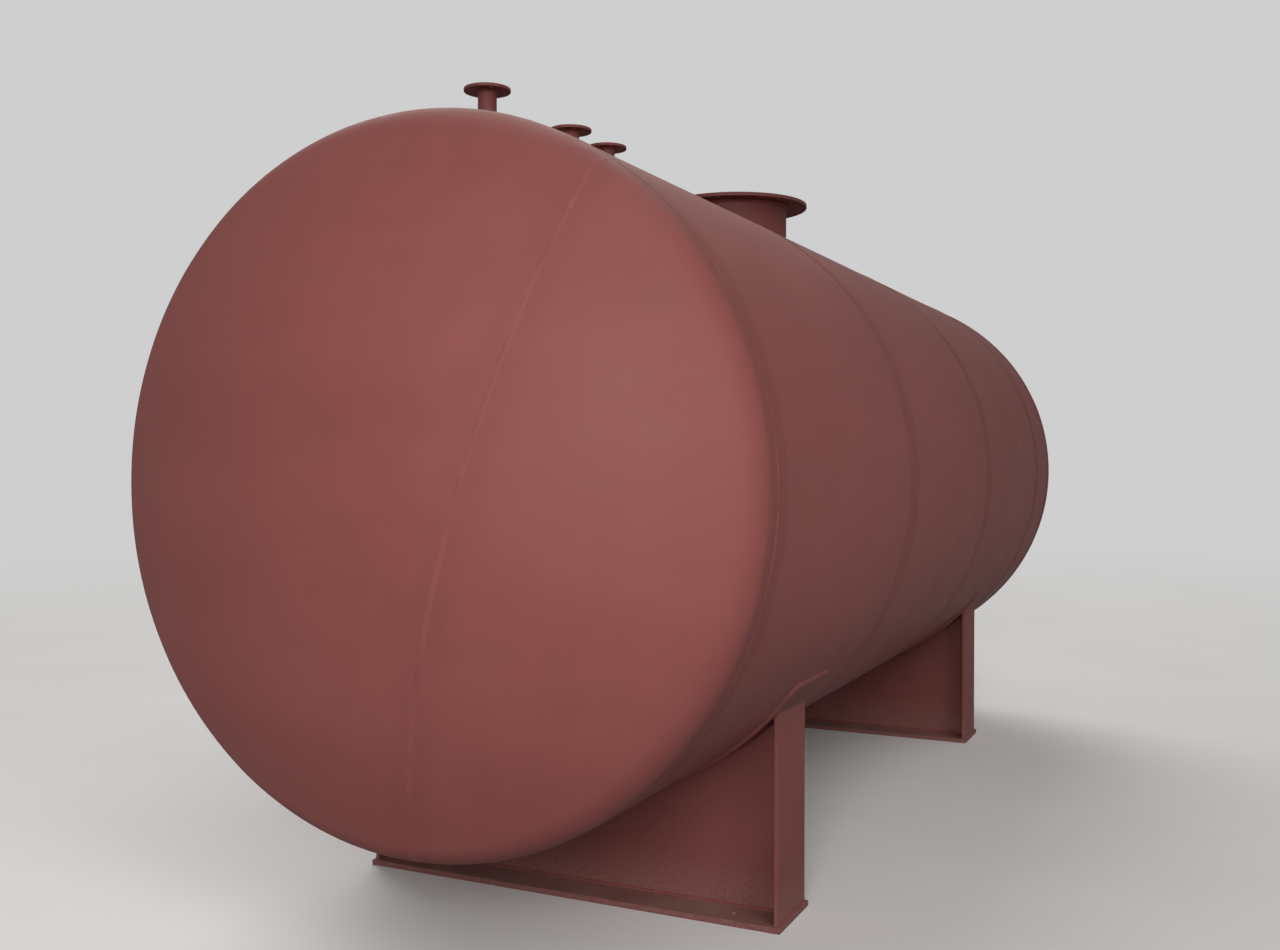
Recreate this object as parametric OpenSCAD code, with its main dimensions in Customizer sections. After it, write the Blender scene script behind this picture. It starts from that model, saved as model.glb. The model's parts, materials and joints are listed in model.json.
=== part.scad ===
// Horizontal pressure tank with dished ends, an open manway and three nozzles, standing on two plate saddles.
// X runs along the tank from the near end to the far end, -Y is the front flank and +Z is up.
// The origin is on the floor, under the middle of the tank.

/* [Shell] */
// outside diameter of the shell and of both heads
shell_d = 2200; // [2000:10:2400]
// shell plate thickness
shell_t = 10; // [6:1:16]
// plate width that makes one full shell course
course_w = 1500; // [1400:10:1600]
// width of the short closing course at the far end
closing_w = 450; // [200:10:900]
// height of the tank axis above the floor
axis_h = 1480; // [1350:10:1900]

/* [Heads] */
// head plate thickness
head_t = 12; // [8:1:20]
// outside radius of the crown
crown_r = 2200; // [1900:10:2600]
// outside radius of the knuckle
knuckle_r = 132; // [80:2:260]
// straight flange between the tangent line and the girth weld
straight_l = 50; // [30:5:80]

/* [Welds] */
// width of a weld cap on the shell
weld_w = 18; // [12:1:26]
// height of a weld cap above the shell plate
weld_h = 2.5; // [1.5:0.5:4]
// places of the four courses' long welds, in degrees from the crown towards the rear
long_weld_at = [62, 104, 58, 108];
// distance from the tank axis to the weld that joins a head's two plates
head_weld_off = 347; // [200:5:450]
// lean of that weld from upright
head_weld_lean = 17; // [0:1:30]
// width of a head's plate weld
head_weld_w = 16; // [12:1:24]
// height of a head's plate weld, nearly ground flush
head_weld_h = 1; // [0.5:0.5:3]

/* [Manway] */
// distance from mid-length to the manway axis
manway_x = 0; // [-300:10:150]
// outside diameter of the neck
manway_od = 500; // [400:10:560]
// neck plate thickness
manway_t = 12; // [8:1:16]
// how far the neck reaches inside the shell, measured down from the crown's underside
manway_inside = 50; // [45:5:90]
// height of the neck's upper end above the crown
manway_rise = 168; // [110:2:200]
// how far the flange face stands above the neck's end, for the inside fillet weld
manway_weld_gap = 4; // [3:1:6]
// outside diameter of the flange
manway_flange_d = 690; // [650:5:740]
// flange thickness
manway_flange_t = 16; // [12:1:30]
// number of bolt holes
manway_bolts = 20; // [16:4:24]
// bolt circle diameter
manway_pcd = 630; // [615:5:640]
// bolt hole diameter
manway_hole_d = 26; // [22:1:30]

/* [Nozzles] */
// distances from the near tangent line to the three nozzle axes
nozzle_at = [377, 930, 1214];
// outside diameter of a nozzle pipe
nozzle_od = 60.3; // [48:0.1:66]
// pipe wall thickness
nozzle_t = 5.5; // [3:0.5:7]
// how far the pipe reaches inside the shell
nozzle_inside = 12; // [6:1:30]
// height of the pipe's end above the crown
nozzle_rise = 162; // [130:1:200]
// how far the flange face stands above the pipe's end
nozzle_weld_gap = 3; // [2:1:5]
// outside diameter of a nozzle flange
nozzle_flange_d = 150; // [140:1:165]
// flange thickness
nozzle_flange_t = 10; // [8:1:20]
// number of bolt holes
nozzle_bolts = 4; // [4:4:8]
// bolt circle diameter
nozzle_pcd = 114; // [105:1:122]
// bolt hole diameter
nozzle_hole_d = 18; // [14:1:19]

/* [Saddles] */
// distance from each tangent line to the middle of its saddle
saddle_in = 995; // [850:5:1150]
// angle round the tank axis between the outer faces of a saddle's end plates
saddle_angle = 94.5; // [90:0.5:110]
// length of a saddle along the tank, over its end plates
saddle_l = 280; // [220:5:320]
// end plate thickness
end_t = 14; // [10:1:20]
// web thickness
web_t = 14; // [10:1:20]
// base plate thickness
base_t = 20; // [16:1:30]
// how far the base plate stands out past the end plates, each way
base_lip = 10; // [5:1:30]
// wear plate thickness
wear_t = 10; // [8:1:14]
// angle that the wear plate wraps on past each end plate
wear_past = 6.5; // [4:0.5:12]
// how far the wear plate stands out past the end plates along the tank
wear_lip = 45; // [30:5:70]
// anchor hole diameter
anchor_d = 26; // [20:1:34]
// distance from the web's middle to a row of anchor holes
anchor_x = 85; // [60:5:95]
// distance from the middle plane to an anchor hole
anchor_y = 640; // [500:10:720]

/* [Hidden] */
$fn = 180;
shell_r = shell_d / 2;
shell_l = 3 * course_w + closing_w;
shell_start = -shell_l / 2;
tangent_x = shell_l / 2 + straight_l;
crown_z = axis_h + shell_r;
head_angle = asin((shell_r - knuckle_r) / (crown_r - knuckle_r));
crown_drop = (crown_r - knuckle_r) * cos(head_angle);
weld_r = (pow(weld_w / 2, 2) + pow(weld_h, 2)) / (2 * weld_h);
flange_face = crown_z + manway_rise + manway_weld_gap;
nozzle_face = crown_z + nozzle_rise + nozzle_weld_gap;
wear_r = shell_r + wear_t;
wear_half_angle = saddle_angle / 2 + wear_past;
saddle_half_w = wear_r * sin(saddle_angle / 2);
saddle_x = tangent_x - saddle_in;
cut = 1;
primer = "#8a5450";
primer_dark = "#7a4642";
primer_light = "#9a625c";

// Puts its children, drawn round local Z, on the tank axis with local Z pointing along +X.
module along_axis(x) {
    translate([x, 0, axis_h])
    rotate([0, 90, 0])
    children();
}

// Puts its children on the near tangent line with local Z pointing along -X, away from the shell.
module at_near_tangent() {
    translate([-tangent_x, 0, axis_h])
    rotate([0, -90, 0])
    children();
}

// Area under a head's surface that lies inset below its outside: crown arc, knuckle arc and straight flange.
module head_area(inset) {
    reach = 2 * crown_r;
    translate([0, -crown_drop])
    intersection() {
        circle(r = crown_r - inset);
        polygon([[0, 0], [reach * sin(head_angle), reach * cos(head_angle)], [0, reach]]);
    }
    translate([shell_r - knuckle_r, 0])
    circle(r = knuckle_r - inset);
    translate([0, -crown_drop])
    square([shell_r - inset, crown_drop]);
}

// Dished head between two surfaces, given as insets below its outside, with its tangent line at the height 0.
module dished_head(outside, inside, down) {
    rotate_extrude()
    difference() {
        head_area(outside);
        head_area(inside);
        translate([0, -crown_drop - cut])
        square([2 * shell_r, crown_drop + cut - down]);
    }
}

// Low weld cap across a dished head, where its two plates are joined. It ends beside the girth weld's cap.
module head_weld() {
    intersection() {
        dished_head(-head_weld_h, 0, straight_l - weld_w / 2);
        rotate([0, 0, -head_weld_lean])
        translate([-shell_d, -head_weld_off - head_weld_w / 2, -straight_l])
        cube([2 * shell_d, head_weld_w, shell_r]);
    }
}

// One rolled plate ring, from x on.
module course(x, w) {
    along_axis(x)
    difference() {
        cylinder(r = shell_r, h = w);
        translate([0, 0, -cut])
        cylinder(r = shell_r - shell_t, h = w + 2 * cut);
    }
}

// Section of a weld cap on the shell, flat below and rounded above.
module weld_section() {
    difference() {
        translate([shell_r + weld_h - weld_r, 0])
        circle(r = weld_r);
        translate([shell_r - 2 * weld_r, -2 * weld_r])
        square([2 * weld_r, 4 * weld_r]);
    }
}

// Weld cap on the outside of the shell, round the joint at x.
module girth_weld(x) {
    color(primer_light)
    along_axis(x)
    rotate_extrude()
    weld_section();
}

// Weld cap along course number i, between the girth welds at its two ends.
module long_weld(i) {
    start = shell_start + i * course_w + weld_w / 2;
    length = (i < 3 ? course_w : closing_w) - weld_w;
    color(primer_light)
    along_axis(start)
    rotate([0, 0, 180 - long_weld_at[i]])
    linear_extrude(height = length)
    weld_section();
}

// Upright pipe of outside diameter od, between two heights.
module pipe(od, wall, low, high) {
    translate([0, 0, low])
    difference() {
        cylinder(d = od, h = high - low);
        translate([0, 0, -cut])
        cylinder(d = od - 2 * wall, h = high - low + 2 * cut);
    }
}

// Flat ring with a circle of bolt holes; its top face is at the height top.
module flange(d, bore, thick, pcd, holes, hole_d, top) {
    translate([0, 0, top - thick])
    difference() {
        cylinder(d = d, h = thick);
        translate([0, 0, -cut])
        cylinder(d = bore, h = thick + 2 * cut);
        for (i = [0:holes - 1])
            rotate([0, 0, (i + 0.5) * 360 / holes])
            translate([pcd / 2, 0, -cut])
            cylinder(d = hole_d, h = thick + 2 * cut, $fn = 48);
    }
}

module at_manway() {
    translate([manway_x, 0, 0])
    children();
}

module at_nozzle(i) {
    translate([nozzle_at[i] - tangent_x, 0, 0])
    children();
}

// Openings in the shell, as wide as the pipes that pass through the plate.
module nozzle_openings() {
    for (i = [0:2])
        at_nozzle(i)
        translate([0, 0, axis_h])
        cylinder(d = nozzle_od, h = 2 * shell_r);
}

module manway_opening() {
    at_manway()
    translate([0, 0, axis_h])
    cylinder(d = manway_od, h = 2 * shell_r);
}

module near_head() {
    color(primer)
    at_near_tangent()
    dished_head(0, head_t, straight_l);
}

module far_head() {
    color(primer)
    along_axis(tangent_x)
    dished_head(0, head_t, straight_l);
}

module near_head_weld() {
    color(primer_light)
    at_near_tangent()
    head_weld();
}

module far_head_weld() {
    color(primer_light)
    along_axis(tangent_x)
    head_weld();
}

module shell_course_1() {
    color(primer)
    difference() {
        course(shell_start, course_w);
        nozzle_openings();
    }
}

module shell_course_2() {
    color(primer)
    difference() {
        course(shell_start + course_w, course_w);
        manway_opening();
    }
}

module shell_course_3() {
    color(primer)
    course(shell_start + 2 * course_w, course_w);
}

module shell_course_4() {
    color(primer)
    course(shell_start + 3 * course_w, closing_w);
}

module manway_neck() {
    color(primer)
    at_manway()
    pipe(manway_od, manway_t, crown_z - shell_t - manway_inside, crown_z + manway_rise);
}

module manway_flange() {
    color(primer_dark)
    at_manway()
    flange(manway_flange_d, manway_od, manway_flange_t, manway_pcd, manway_bolts, manway_hole_d, flange_face);
}

module nozzle_neck(i) {
    color(primer)
    at_nozzle(i)
    pipe(nozzle_od, nozzle_t, crown_z - shell_t - nozzle_inside, crown_z + nozzle_rise);
}

module nozzle_flange(i) {
    color(primer_dark)
    at_nozzle(i)
    flange(nozzle_flange_d, nozzle_od, nozzle_flange_t, nozzle_pcd, nozzle_bolts, nozzle_hole_d, nozzle_face);
}

// Straight cylinder round the tank axis that trims a saddle's upright plates to the wear plate.
module wear_plate_space(x) {
    along_axis(x - saddle_l)
    cylinder(r = wear_r, h = 2 * saddle_l);
}

module saddle_base(x) {
    color(primer_dark)
    difference() {
        translate([x - saddle_l / 2 - base_lip, -saddle_half_w - base_lip, 0])
        cube([saddle_l + 2 * base_lip, 2 * (saddle_half_w + base_lip), base_t]);
        for (sx = [-1, 1])
            for (sy = [-1, 1])
                translate([x + sx * anchor_x, sy * anchor_y, -cut])
                cylinder(d = anchor_d, h = base_t + 2 * cut, $fn = 48);
    }
}

module saddle_web(x) {
    color(primer)
    difference() {
        translate([x - web_t / 2, -saddle_half_w + end_t, base_t])
        cube([web_t, 2 * (saddle_half_w - end_t), axis_h - base_t]);
        wear_plate_space(x);
    }
}

// Upright plate that closes one end of a saddle; side is -1 for the front and 1 for the rear.
module saddle_end_plate(x, side) {
    color(primer)
    difference() {
        translate([x - saddle_l / 2, side * (saddle_half_w - end_t / 2) - end_t / 2, base_t])
        cube([saddle_l, end_t, axis_h - base_t]);
        wear_plate_space(x);
    }
}

// Curved plate between the shell and the saddle.
module saddle_wear_plate(x) {
    wear_l = saddle_l + 2 * wear_lip;
    reach = 2 * shell_r;
    color(primer)
    along_axis(x - wear_l / 2)
    intersection() {
        difference() {
            cylinder(r = wear_r, h = wear_l);
            translate([0, 0, -cut])
            cylinder(r = shell_r, h = wear_l + 2 * cut);
        }
        linear_extrude(height = wear_l)
        polygon([[0, 0], [reach * cos(wear_half_angle), reach * sin(wear_half_angle)], [reach, 0],
            [reach * cos(wear_half_angle), -reach * sin(wear_half_angle)]]);
    }
}

near_head();
far_head();
shell_course_1();
shell_course_2();
shell_course_3();
shell_course_4();
near_head_weld();
far_head_weld();
girth_weld(shell_start);  // girth_weld_1
girth_weld(shell_start + course_w);  // girth_weld_2
girth_weld(shell_start + 2 * course_w);  // girth_weld_3
girth_weld(shell_start + 3 * course_w);  // girth_weld_4
girth_weld(shell_start + shell_l);  // girth_weld_5
long_weld(0);  // long_weld_1
long_weld(1);  // long_weld_2
long_weld(2);  // long_weld_3
long_weld(3);  // long_weld_4
manway_neck();
manway_flange();
nozzle_neck(0);  // nozzle_1_neck
nozzle_flange(0);  // nozzle_1_flange
nozzle_neck(1);  // nozzle_2_neck
nozzle_flange(1);  // nozzle_2_flange
nozzle_neck(2);  // nozzle_3_neck
nozzle_flange(2);  // nozzle_3_flange
saddle_base(-saddle_x);  // near_saddle_base
saddle_web(-saddle_x);  // near_saddle_web
saddle_end_plate(-saddle_x, -1);  // near_saddle_front_plate
saddle_end_plate(-saddle_x, 1);  // near_saddle_rear_plate
saddle_wear_plate(-saddle_x);  // near_saddle_wear_plate
saddle_base(saddle_x);  // far_saddle_base
saddle_web(saddle_x);  // far_saddle_web
saddle_end_plate(saddle_x, -1);  // far_saddle_front_plate
saddle_end_plate(saddle_x, 1);  // far_saddle_rear_plate
saddle_wear_plate(saddle_x);  // far_saddle_wear_plate
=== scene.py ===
"""Looks of a horizontal pressure tank: camera, stage, light, primer finishes, plates and weld beads."""
import json
import math

import bmesh
import bpy
import numpy as np
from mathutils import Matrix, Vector, noise
from mathutils.geometry import delaunay_2d_cdt


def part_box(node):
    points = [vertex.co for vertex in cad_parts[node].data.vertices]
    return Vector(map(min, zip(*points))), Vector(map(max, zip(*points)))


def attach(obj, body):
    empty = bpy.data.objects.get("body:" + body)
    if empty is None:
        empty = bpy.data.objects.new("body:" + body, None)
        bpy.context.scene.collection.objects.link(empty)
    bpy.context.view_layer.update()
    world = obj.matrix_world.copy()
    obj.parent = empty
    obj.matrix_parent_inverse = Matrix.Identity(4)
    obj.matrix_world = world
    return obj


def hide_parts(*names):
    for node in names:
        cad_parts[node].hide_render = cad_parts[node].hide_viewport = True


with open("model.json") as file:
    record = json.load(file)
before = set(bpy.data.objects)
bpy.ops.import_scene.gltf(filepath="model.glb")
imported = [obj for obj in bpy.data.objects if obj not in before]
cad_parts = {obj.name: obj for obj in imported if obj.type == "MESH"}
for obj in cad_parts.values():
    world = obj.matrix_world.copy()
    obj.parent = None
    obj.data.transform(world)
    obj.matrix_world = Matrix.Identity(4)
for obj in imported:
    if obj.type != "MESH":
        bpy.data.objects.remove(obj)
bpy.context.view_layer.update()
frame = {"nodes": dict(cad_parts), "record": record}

# Places read from the frame, in metres.
COURSES = ["shell_course_1", "shell_course_2", "shell_course_3", "shell_course_4"]
course_low, course_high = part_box("shell_course_3")
SHELL_R = (course_high.z - course_low.z) / 2
AXIS_Z = (course_high.z + course_low.z) / 2
SEAMS_X = [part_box(name)[0].x for name in COURSES] + [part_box(COURSES[-1])[1].x]
SHELL_END = SEAMS_X[-1]

# Sizes of the shell and heads, in metres and degrees, as the solids have them.
SHELL_T = 0.010
HEAD_T = 0.012
CROWN_R = 2.200
KNUCKLE_R = 0.132
STRAIGHT_L = 0.050
LONG_WELD_DEG = [62, 104, 58, 108]
HEAD_WELD_OFF = 0.347
HEAD_WELD_LEAN = math.radians(17)
CAP_W = 0.018
CAP_H = 0.0023
HEAD_CAP_W = 0.016
HEAD_CAP_H = 0.0006

# Necks: pipe walls, then the number of bolt holes, their circle and their diameter.
MANWAY_WALL = 0.012
NOZZLE_WALL = 0.0055
MANWAY_BOLTS = (20, 0.630, 0.026)
NOZZLE_BOLTS = (4, 0.114, 0.018)

# Saddles: plate thicknesses, anchor holes off the middle, and the wear plate's round corners.
END_T = 0.014
WEAR_T = 0.010
ANCHOR_X = 0.085
ANCHOR_Y = 0.640
ANCHOR_D = 0.026
WEAR_CORNER_R = 0.035

# Legs of the fillet welds. Those on a flange are a share of the neck's leg or wall, and stay under its face.
MANWAY_LEG = 0.010
NOZZLE_LEG = 0.006
WEB_LEG = 0.008
PLATE_LEG = 0.007
FLANGE_SHARE = 0.8
FACE_CLEAR = 0.0004

# Meshes: rounding of cut edges, grid, how far it stays off holes and corners, and the least sharp angle.
EDGE_R = 0.0015
GRID = 0.030
GRID_CLEAR = 0.012
CORNER_CLEAR = 0.008
SHARP_DEG = 50

# Steps round the shell and bolt holes; those round an opening and a pipe are for narrow and wide ones.
ROUND_STEPS = 192
HOLE_STEPS = 24
OPENING_STEPS = (32, 96)
PIPE_STEPS = (48, 128)
WIDE_R = 0.1

# Points along a head's profile, the outlines of saddle plates, and pipes.
STRAIGHT_POINTS = 4
KNUCKLE_POINTS = 14
CROWN_POINTS = 40
WEB_POINTS = 120
END_POINTS = 5
CORNER_POINTS = 9
WEAR_POINTS = (14, 64)
PIPE_POINTS = 6

# Worked out from those.
TANGENT_X = SHELL_END + STRAIGHT_L
CROWN_ANGLE = math.asin((SHELL_R - KNUCKLE_R) / (CROWN_R - KNUCKLE_R))
CROWN_DROP = (CROWN_R - KNUCKLE_R) * math.cos(CROWN_ANGLE)
WEAR_R = SHELL_R + WEAR_T
AXIS = np.array([0.0, 0.0, AXIS_Z])
X = np.array([1.0, 0.0, 0.0])
Y = np.array([0.0, 1.0, 0.0])
Z = np.array([0.0, 0.0, 1.0])


def unit(v):
    """Each row of v at length 1."""
    v = np.asarray(v, float)
    return v / np.linalg.norm(v, axis=-1, keepdims=True)


def rows(vector, count):
    """The same vector, once for each of count points."""
    return np.tile(np.asarray(vector, float), (count, 1))


def stack(x, y, z):
    """Points from their coordinates, any of which may be one number."""
    return np.stack(np.broadcast_arrays(*(np.asarray(v, float) for v in (x, y, z))), -1)


# Finishes

class Finish:
    """A material, with short ways to add nodes to it."""

    def __init__(self, name):
        self.material = bpy.data.materials.new(name)
        self.material.use_nodes = True
        self.tree = self.material.node_tree
        self.shader = self.tree.nodes["Principled BSDF"]
        self.place = self.node("ShaderNodeTexCoord").outputs["Object"]
        self.geometry = self.node("ShaderNodeNewGeometry")

    def put(self, socket, value):
        """Links a socket, or sets a value, on an input."""
        if isinstance(value, bpy.types.NodeSocket):
            self.tree.links.new(value, socket)
        elif socket.type == "RGBA":
            socket.default_value = (*value, 1)
        else:
            socket.default_value = value

    def node(self, kind, inputs=None, **settings):
        """A new node; inputs are values or sockets, by name or number."""
        node = self.tree.nodes.new(kind)
        for key, value in settings.items():
            setattr(node, key, value)
        for key, value in (inputs or {}).items():
            self.put(node.inputs[key], value)
        return node

    def math(self, operation, a, b=0.0, c=0.0):
        """A number worked out from up to three others."""
        return self.node("ShaderNodeMath", {0: a, 1: b, 2: c}, operation=operation).outputs[0]

    def noise(self, scale, detail=3, rough=0.5, stretch=(1, 1, 1), shift=(0, 0, 0), edges=None):
        """Smooth random pattern from 0 to 1, scale in waves a metre; edges, if given, go to ramp."""
        mapping = self.node("ShaderNodeMapping", {"Vector": self.place, "Scale": stretch, "Location": shift})
        inputs = {"Vector": mapping.outputs[0], "Scale": scale, "Detail": detail, "Roughness": rough}
        pattern = self.node("ShaderNodeTexNoise", inputs).outputs[0]
        return self.ramp(pattern, *edges) if edges else pattern

    def ramp(self, value, low, high, start=0.0, end=1.0):
        """Eases from start to end while value goes from low to high."""
        inputs = {0: value, 1: low, 2: high, 3: start, 4: end}
        return self.node("ShaderNodeMapRange", inputs, interpolation_type="SMOOTHSTEP").outputs[0]

    def mix(self, share, a, b):
        """Colour a, turned to colour b by a share from 0 to 1."""
        return self.node("ShaderNodeMix", {0: share, 6: a, 7: b}, data_type="RGBA").outputs[2]

    def lay(self, colour, share, amount, over):
        """A colour with another laid over it, in a share from 0 to 1 times an amount."""
        return self.mix(self.math("MULTIPLY", share, amount), colour, over)

    def up(self):
        """How much the surface faces up, from -1 to 1."""
        return self.node("ShaderNodeSeparateXYZ", {0: self.geometry.outputs["Normal"]}).outputs[2]

    def height(self):
        """Height above the floor, in metres."""
        return self.node("ShaderNodeSeparateXYZ", {0: self.place}).outputs[2]

    def bumped(self, layers):
        """A normal with bumps, from a list of pattern and depth in metres."""
        normal = self.geometry.outputs["Normal"]
        for pattern, depth in layers:
            inputs = {"Height": pattern, "Distance": depth, "Strength": 1.0, "Normal": normal}
            normal = self.node("ShaderNodeBump", inputs).outputs[0]
        return normal

    def connect(self, **sockets):
        """Sets inputs of the shader, with _ in place of a space."""
        for key, value in sockets.items():
            self.put(self.shader.inputs[key.replace("_", " ")], value)


# Colours, and how much the matt primer mirrors.
DUST = (0.30, 0.205, 0.180)
RUST = (0.075, 0.026, 0.013)
RUST_LIGHT = (0.150, 0.062, 0.033)
STEEL = (0.088, 0.074, 0.068)
SHELL_TONE = (0.245, 0.073, 0.068)
SHELL_DEEP = (0.195, 0.056, 0.052)
FITTING_TONE = (0.190, 0.055, 0.050)
FITTING_DEEP = (0.128, 0.038, 0.035)
WELD_TONE = (0.208, 0.061, 0.056)
WELD_DEEP = (0.165, 0.048, 0.044)
SADDLE_TONE = (0.215, 0.066, 0.061)
SADDLE_DEEP = (0.160, 0.048, 0.045)
MATT = 0.22

# Patterns of the primer, as Finish.noise takes them.
COATS = {"scale": 1.1, "detail": 4, "rough": 0.6, "edges": (0.32, 0.68)}
PASSES = {"scale": 1.0, "stretch": (0.5, 0.5, 3.4), "shift": (3, 1, 7), "edges": (0.3, 0.7)}
CLOUDS = {"scale": 7.5, "detail": 6, "rough": 0.62, "shift": (9, 4, 2), "edges": (0.28, 0.72)}
DRIFTS = {"scale": 3.1, "detail": 7, "rough": 0.66, "shift": (5, 5, 5), "edges": (0.25, 0.75)}
# Patches of the painted shade on faces that turn down.
UNDER_SHADE_PATCHES = {"scale": 2.2, "detail": 5, "rough": 0.6, "shift": (1, 8, 3)}
SPECKS = {"scale": 85, "detail": 2, "edges": (0.69, 0.74)}
SPECK_SWARMS = {"scale": 1.7, "detail": 4, "rough": 0.6, "shift": (2, 2, 9), "edges": (0.5, 0.7)}
SCUFFS = {"scale": 17, "stretch": (1, 1, 30), "shift": (7, 7, 1), "edges": (0.66, 0.78)}
SCUFF_PLACES = {"scale": 2.6, "rough": 0.6, "shift": (8, 1, 5), "edges": (0.52, 0.72)}
SPLASHES = {"scale": 95, "detail": 4, "rough": 0.6, "edges": (0.42, 0.70, 0.3, 1.0)}
BAND_EDGE = {"scale": 5.5, "rough": 0.6, "shift": (6, 2, 4)}
BRUSHED = {"scale": 26, "detail": 4, "rough": 0.6, "stretch": (1, 1, 0.5)}
PEEL = {"scale": 420, "detail": 2}

# Patterns of rusty steel and of weld metal.
BLOOM = {"scale": 13, "detail": 6, "rough": 0.66, "shift": (4, 4, 4)}
BLOOM_EDGES = (0.58, 0.92)
FINE_RUST = {"scale": 75, "detail": 5, "rough": 0.65}
FINE_EDGES = (0.35, 0.7)
PATCHES = {"scale": 9, "detail": 5, "rough": 0.65, "edges": (0.3, 0.7)}
HOLLOWS = {"scale": 31, "detail": 5, "rough": 0.7, "edges": (0.56, 0.68)}
GRAINS = {"scale": 330, "rough": 0.6}

# Share of the lighter primer: what is there everywhere, and what the patterns add.
EVEN_TONE = 0.12
CLOUD_TONE = 0.22
PASS_TONE = 0.33
COAT_TONE = 0.28

# Strength of what lies over the primer, and how dark the bands and the painted shade underneath are next to
# the deeper primer.
BAND_STRENGTH = 0.45
BAND_DARK = 0.82
UNDER_SHADE_STRENGTH = 0.55
UNDER_SHADE_DARK = 0.55
SPECK_STRENGTH = 0.8
SCUFF_STRENGTH = 0.16

# Roughness of the primer, and what the patterns add.
PRIMER_ROUGH = 0.53
PASS_ROUGH = 0.05
DUST_ROUGH = 0.18
CLOUD_ROUGH = 0.08

# Roughness of bare steel and its rust, how metallic it is, the bloom that ends that, and welds' roughness.
STEEL_ROUGH = (0.45, 0.85)
STEEL_METAL = 0.35
FULL_RUST = 0.6
WELD_ROUGH = (0.55, 0.66)

# Where dust lies and where shade is painted underneath, by how much the plate faces up, from -1 to 1.
DUST_UP = (0.35, 1.0)
UNDER_SHADE_UP = (-0.25, -0.95)

# Brushed bands over the welds: where they fade, in metres off a girth weld and off a head's weld.
GIRTH_BAND = (0.055, 0.085)
HEAD_BAND = (0.040, 0.085)
HEAD_BAND_SHARE = 0.35
BAND_UNEVEN = 0.07

# Depth of the small bumps, in metres, and how far up mud splashes reach.
BRUSHED_H = 0.0004
PEEL_H = 0.00012
RUST_H = 0.0004
GRAIN_H = 0.00025
SPLASH_TOP = 0.22


def darker(colour, share):
    """A share of a colour."""
    return tuple(share * c for c in colour)


def touch_up(f):
    """1 in the hand-brushed bands of primer over the finished welds, and 0 elsewhere."""
    x, y, z = f.node("ShaderNodeSeparateXYZ", {0: f.place}).outputs
    uneven = f.math("MULTIPLY_ADD", f.noise(**BAND_EDGE), BAND_UNEVEN, -BAND_UNEVEN / 2)
    nearest = 1.0
    for seam_x in SEAMS_X:
        nearest = f.math("MINIMUM", nearest, f.math("ABSOLUTE", f.math("SUBTRACT", x, seam_x)))
    on_girth = f.ramp(f.math("ADD", nearest, uneven), *GIRTH_BAND, 1.0, 0.0)
    lean = f.math("MULTIPLY", f.math("SIGN", x), math.sin(HEAD_WELD_LEAN))
    lean = f.math("MULTIPLY", f.math("SUBTRACT", z, AXIS_Z), lean)
    chord = f.math("SUBTRACT", f.math("MULTIPLY_ADD", y, -math.cos(HEAD_WELD_LEAN), lean), HEAD_WELD_OFF)
    on_shell = f.math("LESS_THAN", f.math("ABSOLUTE", x), SHELL_END)
    from_chord = f.math("ADD", f.math("ABSOLUTE", chord), f.math("ADD", on_shell, uneven))
    return f.math("MAXIMUM", on_girth, f.ramp(from_chord, *HEAD_BAND, HEAD_BAND_SHARE, 0.0))


def primer(name, tone, deep, dusty, splash=0.0, welded=False):
    """Matt red oxide primer on plate: uneven sprayed coats, dust on top, painted shade in patches underneath,
    rust specks and scuffs.
    """
    f = Finish(name)
    passes = f.noise(**PASSES)
    clouds = f.noise(**CLOUDS)
    share = f.math("MULTIPLY_ADD", passes, PASS_TONE, f.math("MULTIPLY_ADD", clouds, CLOUD_TONE, EVEN_TONE))
    share = f.math("MULTIPLY_ADD", f.noise(**COATS), COAT_TONE, share)
    colour = f.mix(share, deep, tone)
    if welded:
        colour = f.lay(colour, touch_up(f), BAND_STRENGTH, darker(deep, BAND_DARK))
    dust = f.math("MULTIPLY", f.ramp(f.up(), *DUST_UP), f.noise(**DRIFTS))
    # Painted shade: darker primer in patches where the plate faces down.
    under_shade = f.math("MULTIPLY", f.ramp(f.up(), *UNDER_SHADE_UP), f.noise(**UNDER_SHADE_PATCHES))
    specks = f.math("MULTIPLY", f.noise(**SPECKS), f.noise(**SPECK_SWARMS))
    scuffs = f.math("MULTIPLY", f.noise(**SCUFFS), f.noise(**SCUFF_PLACES))
    colour = f.lay(colour, dust, dusty, DUST)
    colour = f.lay(colour, under_shade, UNDER_SHADE_STRENGTH, darker(deep, UNDER_SHADE_DARK))
    colour = f.lay(colour, specks, SPECK_STRENGTH, RUST)
    colour = f.lay(colour, scuffs, SCUFF_STRENGTH, DUST)
    if splash:
        mud = f.math("MULTIPLY", f.ramp(f.height(), SPLASH_TOP, 0.0), f.noise(**SPLASHES))
        colour = f.lay(colour, mud, splash, DUST)
    rough = f.math("MULTIPLY_ADD", dust, DUST_ROUGH, f.math("MULTIPLY_ADD", passes, PASS_ROUGH, PRIMER_ROUGH))
    rough = f.math("MULTIPLY_ADD", clouds, CLOUD_ROUGH, rough)
    normal = f.bumped([(f.noise(**BRUSHED), BRUSHED_H), (f.noise(**PEEL), PEEL_H)])
    f.connect(Base_Color=colour, Roughness=rough, Normal=normal)
    f.connect(Specular_IOR_Level=MATT)
    return f.material


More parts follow.
